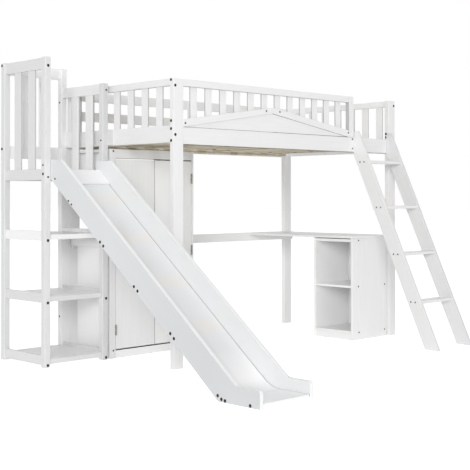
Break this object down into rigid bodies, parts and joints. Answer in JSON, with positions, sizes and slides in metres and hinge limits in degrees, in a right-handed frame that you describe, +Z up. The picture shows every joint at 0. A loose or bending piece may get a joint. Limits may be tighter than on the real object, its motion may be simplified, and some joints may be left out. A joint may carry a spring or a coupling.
{
  "type": "loft bed with slide",
  "caption": "White high single bed with slatted guards and gable board, a slide from a side tower with shelves, a two-door wardrobe, a desk with open cabinet, and a ladder.",
  "frame": {"origin": "on the floor, at the middle of the foot of the front left bed post", "axes": "+X along the bed, from the slide tower to the ladder end; +Y from the front of the bed to its back; +Z up"},
  "size_m": [2.609, 2.1684, 1.8145],
  "materials": {
    "white_lacquer": "white satin paint on pine and board",
    "slide_surface": "glossy white laminate",
    "pine": "bare planed pine",
    "hinge_metal": "dark bronze",
    "steel_tube": "polished tube"
  },
  "bodies": {
    "frame": {"back_stretcher": "white_lacquer", "cabinet_back": "white_lacquer", "cabinet_base": "white_lacquer", "cabinet_shelf": "white_lacquer", "cabinet_side_back": "white_lacquer", "cabinet_side_front": "white_lacquer", "cabinet_top": "white_lacquer", "desk_top": "white_lacquer", "end_rail_left": "white_lacquer", "end_rail_right": "white_lacquer", "gable_board_left": "white_lacquer", "gable_board_right": "white_lacquer", "gable_field": "white_lacquer", "guard_back": "white_lacquer", "guard_front": "white_lacquer", "guard_left": "white_lacquer", "guard_right": "white_lacquer", "hinge_left_1": "hinge_metal", "hinge_left_2": "hinge_metal", "hinge_left_3": "hinge_metal", "hinge_right_1": "hinge_metal", "hinge_right_2": "hinge_metal", "hinge_right_3": "hinge_metal", "ladder_stringer_left": "white_lacquer", "ladder_stringer_right": "white_lacquer", "ladder_tread_1": "white_lacquer", "ladder_tread_2": "white_lacquer", "ladder_tread_3": "white_lacquer", "ladder_tread_4": "white_lacquer", "post_back_left": "white_lacquer", "post_back_right": "white_lacquer", "post_front_left": "white_lacquer", "post_front_right": "white_lacquer", "side_rail_back": "white_lacquer", "side_rail_front": "white_lacquer", "slatted_base": "pine", "slide_deck": "slide_surface", "slide_side_left": "white_lacquer", "slide_side_right": "white_lacquer", "tower_guard_back": "white_lacquer", "tower_guard_left": "white_lacquer", "tower_guard_right": "white_lacquer", "tower_platform": "white_lacquer", "tower_post_back_left": "white_lacquer", "tower_post_back_right": "white_lacquer", "tower_post_front_left": "white_lacquer", "tower_post_front_right": "white_lacquer", "tower_shelf_1": "white_lacquer", "tower_shelf_2": "white_lacquer", "tower_shelf_3": "white_lacquer", "wardrobe_back": "white_lacquer", "wardrobe_base": "white_lacquer", "wardrobe_fascia": "white_lacquer", "wardrobe_hanging_rail": "steel_tube", "wardrobe_shelf": "white_lacquer", "wardrobe_side_left": "white_lacquer", "wardrobe_side_right": "white_lacquer", "wardrobe_top": "white_lacquer"},
    "door_left": {"door_left": "white_lacquer"},
    "door_right": {"door_right": "white_lacquer"}
  },
  "joints": [
    {"name": "door_left_hinge", "type": "hinge", "parent": "frame", "child": "door_left", "pos_m": [-0.0095, 0.55, 0.64], "axis": [0, 0, -1], "range_deg": [0, 100]},
    {"name": "door_right_hinge", "type": "hinge", "parent": "frame", "child": "door_right", "pos_m": [0.6185, 0.55, 0.64], "axis": [0, 0, 1], "range_deg": [0, 110]}
  ]
}
